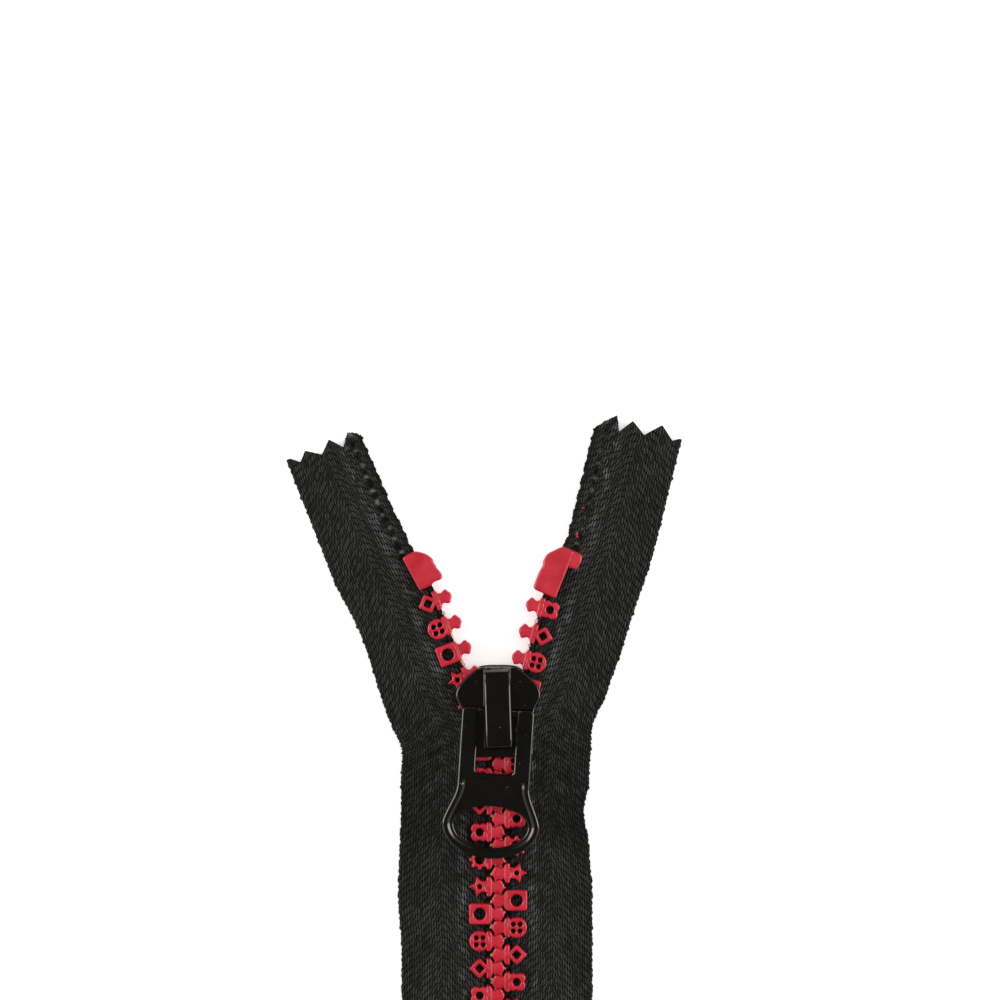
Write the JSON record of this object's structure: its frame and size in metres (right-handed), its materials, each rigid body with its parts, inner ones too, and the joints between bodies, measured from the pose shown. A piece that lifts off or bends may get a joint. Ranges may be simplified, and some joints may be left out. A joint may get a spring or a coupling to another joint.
{
  "type": "zipper",
  "caption": "Moulded-tooth zipper on fabric tape, half open, with a locking slider, hinged ring pull tab and ornamental openwork on each tooth.",
  "frame": {"origin": "centre of the slider's flat underside, with the slider near the top of the closed chain", "axes": "+Y along the chain towards the open top end, +X towards the right-hand tape seen from the front, +Z out of the front, through the pull tab"},
  "size_m": [0.0631, 0.2178, 0.0096],
  "materials": {
    "teeth": "moulded acetal, satin gloss",
    "tape": "woven herringbone polyester",
    "enamel": "gloss enamel on die-cast zinc",
    "spring_steel": "bright spring steel"
  },
  "bodies": {
    "root": {"bottom_stop": "teeth", "left_tape_bottom": "tape", "right_tape_bottom": "tape", "left_cord_bottom": "tape", "right_cord_bottom": "tape", "left_end_tooth": "teeth", "right_end_tooth": "teeth"},
    "left_lower": {"left_tape_lower": "tape", "left_cord_lower": "tape", "left_square_teeth": "teeth", "left_button_teeth": "teeth", "left_diamond_teeth": "teeth", "left_clover_teeth": "teeth", "left_cog_teeth": "teeth", "left_star_teeth": "teeth"},
    "right_lower": {"right_tape_lower": "tape", "right_cord_lower": "tape", "right_square_teeth": "teeth", "right_button_teeth": "teeth", "right_diamond_teeth": "teeth", "right_clover_teeth": "teeth", "right_cog_teeth": "teeth", "right_star_teeth": "teeth"},
    "left_arm": {"left_top_stop": "teeth", "left_tape_upper": "tape", "left_cord_upper": "tape", "left_tooth_1": "teeth", "left_tooth_2": "teeth", "left_tooth_3": "teeth", "left_tooth_4": "teeth", "left_tooth_5": "teeth", "left_tooth_6": "teeth"},
    "right_arm": {"right_top_stop": "teeth", "right_tape_upper": "tape", "right_cord_upper": "tape", "right_tooth_1": "teeth", "right_tooth_2": "teeth", "right_tooth_3": "teeth", "right_tooth_4": "teeth", "right_tooth_5": "teeth"},
    "slider": {"slider_body": "enamel", "slider_bail": "enamel"},
    "spring": {"lock_spring": "spring_steel"},
    "tab": {"pull_tab": "enamel"}
  },
  "joints": [
    {"name": "slider_travel", "type": "slide", "parent": "root", "child": "slider", "axis": [0, 1, 0], "range_m": [-0.135, 0], "deforming": ["left_tape_lower", "left_cord_lower", "left_square_teeth", "left_button_teeth", "left_diamond_teeth", "left_clover_teeth", "left_cog_teeth", "left_star_teeth", "right_tape_lower", "right_cord_lower", "right_square_teeth", "right_button_teeth", "right_diamond_teeth", "right_clover_teeth", "right_cog_teeth", "right_star_teeth", "left_tape_upper", "left_cord_upper", "left_tooth_1", "left_tooth_2", "left_tooth_3", "left_tooth_4", "left_tooth_5", "left_tooth_6", "right_tape_upper", "right_cord_upper", "right_tooth_1", "right_tooth_2", "right_tooth_3", "right_tooth_4", "right_tooth_5", "left_tape_bottom", "right_tape_bottom", "left_cord_bottom", "right_cord_bottom", "left_end_tooth", "right_end_tooth"]},
    {"name": "left_tape_opens", "type": "hinge", "parent": "root", "child": "left_lower", "pos_m": [0, -0.1386, 0.00295], "axis": [0, 0, 1], "range_deg": [0, 21.3]},
    {"name": "right_tape_opens", "type": "hinge", "parent": "root", "child": "right_lower", "pos_m": [0, -0.1386, 0.00295], "axis": [0, 0, -1], "range_deg": [0, 14.9]},
    {"name": "left_tape_straightens", "type": "hinge", "parent": "left_lower", "child": "left_arm", "pos_m": [0, -0.0036, 0.00295], "axis": [0, 0, -1], "range_deg": [0, 21.3]},
    {"name": "right_tape_straightens", "type": "hinge", "parent": "right_lower", "child": "right_arm", "pos_m": [0, -0.0036, 0.00295], "axis": [0, 0, 1], "range_deg": [0, 14.9]},
    {"name": "pull_tab_swing", "type": "hinge", "parent": "slider", "child": "tab", "pos_m": [0, -0.0002, 0.0072], "axis": [-0.9978, 0.0663, 0], "range_deg": [0, 170]},
    {"name": "lock_spring_lifts", "type": "hinge", "parent": "slider", "child": "spring", "pos_m": [0, 0.0043, 0.00805], "axis": [-1, 0, 0], "range_deg": [0, 2.4]}
  ],
  "couplings": [
    {"joint": "left_tape_opens", "follows": "slider_travel", "rad_per_m": -2.7537},
    {"joint": "right_tape_opens", "follows": "slider_travel", "rad_per_m": -1.9263},
    {"joint": "left_tape_straightens", "follows": "slider_travel", "rad_per_m": -2.7537},
    {"joint": "right_tape_straightens", "follows": "slider_travel", "rad_per_m": -1.9263},
    {"joint": "lock_spring_lifts", "follows": "pull_tab_swing", "ratio": 0.013529}
  ]
}
